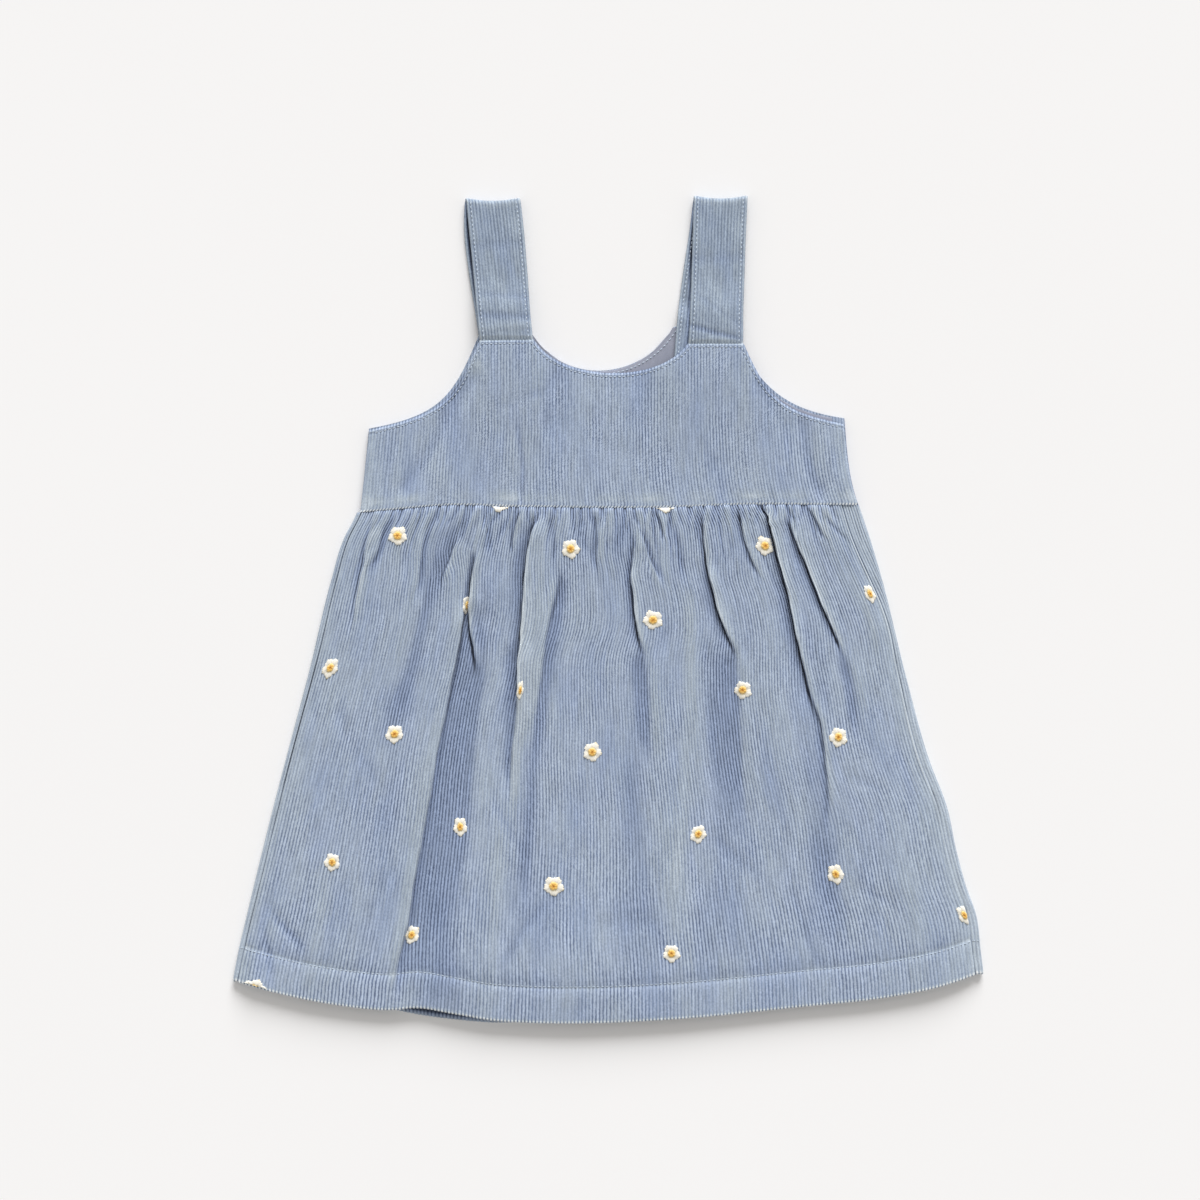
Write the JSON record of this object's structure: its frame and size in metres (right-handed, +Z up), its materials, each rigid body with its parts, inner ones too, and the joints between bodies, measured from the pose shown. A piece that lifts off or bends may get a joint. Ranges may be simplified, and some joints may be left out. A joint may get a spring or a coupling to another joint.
{
  "type": "pinafore dress",
  "caption": "Toddler's sleeveless corduroy pinafore dress with wide straps, a scooped bodice and a gathered skirt, laid flat face up.",
  "frame": {"origin": "on the surface that the dress lies on, under the middle of its box", "axes": "+X to the right as the dress is seen from above, +Y from the hem towards the shoulders, +Z up from the surface"},
  "size_m": [0.4212, 0.4642, 0.0089],
  "materials": {
    "corduroy": "fine-wale cotton corduroy, dusty blue, soft brushed pile",
    "lining": "plain-woven cotton, grey-lilac, matt",
    "thread": "sewing thread, pale blue",
    "daisy_white": "embroidery thread, cream, satin stitch",
    "daisy_yellow": "embroidery thread, golden yellow"
  },
  "bodies": {
    "root": {"front_bodice": "corduroy", "back_bodice": "corduroy", "back_bodice_lining": "lining", "front_skirt": "corduroy", "back_skirt": "corduroy", "left_strap": "corduroy", "right_strap": "corduroy"}
  },
  "joints": []
}
